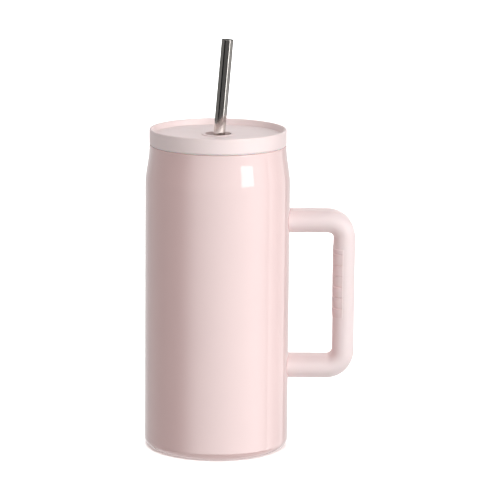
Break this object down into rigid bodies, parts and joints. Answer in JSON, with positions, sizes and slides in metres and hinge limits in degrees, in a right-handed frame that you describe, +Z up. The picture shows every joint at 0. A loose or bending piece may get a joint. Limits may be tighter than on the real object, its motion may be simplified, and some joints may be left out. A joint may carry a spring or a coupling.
{
  "type": "insulated tumbler with lid and straw",
  "caption": "Tall vacuum-insulated mug with a press-in lid, a leaning steel straw through its middle and a D-shaped moulded handle with a finger pad.",
  "frame": {"origin": "centre of the foot ring, on the plane that the tumbler stands on", "axes": "+Z up along the vessel's axis, +X from the axis to the handle"},
  "size_m": [0.1454, 0.1, 0.2853],
  "materials": {
    "shell_paint": "gloss pale pink paint",
    "liner_steel": "satin, spun",
    "base_steel": "satin",
    "bead_glass": "fused",
    "getter_metal": "sintered",
    "lug_steel": "stamped",
    "handle_plastic": "satin, fine grain",
    "pad_rubber": "soft matt",
    "screw_steel": "plain",
    "plug_rubber": "soft matt",
    "seal_silicone": "translucent matt",
    "lid_plastic": "satin",
    "deck_plastic": "satin",
    "bush_silicone": "soft matt",
    "straw_steel": "polished"
  },
  "bodies": {
    "vessel": {"outer_shell": "shell_paint", "inner_liner": "liner_steel", "outer_base": "base_steel", "vacuum_bead": "bead_glass", "getter": "getter_metal", "getter_clip": "lug_steel", "base_cover": "base_steel", "upper_lug": "lug_steel", "lower_lug": "lug_steel", "handle_body": "handle_plastic", "grip_pad": "pad_rubber", "handle_screws": "screw_steel", "screw_plugs": "plug_rubber"},
    "seal": {"lid_seal": "seal_silicone"},
    "lid": {"lid_shell": "lid_plastic", "lid_deck": "deck_plastic", "lid_plug": "lid_plastic", "straw_ring": "lid_plastic"},
    "bush": {"straw_bush": "bush_silicone"},
    "straw": {"straw": "straw_steel"}
  },
  "joints": [
    {"name": "lid_lift", "type": "slide", "parent": "vessel", "child": "seal", "axis": [0, 0, 1], "range_m": [0, 0.23]},
    {"name": "lid_turn", "type": "hinge", "parent": "seal", "child": "lid", "pos_m": [0, 0, 0.2123], "axis": [0, 0, 1], "continuous": true},
    {"name": "straw_lean", "type": "hinge", "parent": "lid", "child": "bush", "pos_m": [0, 0, 0.21], "axis": [0, 1, 0], "range_deg": [-11.1, 1.9]},
    {"name": "straw_draw", "type": "slide", "parent": "bush", "child": "straw", "axis": [0.0802, 0, 0.9968], "range_m": [0, 0.235]}
  ]
}
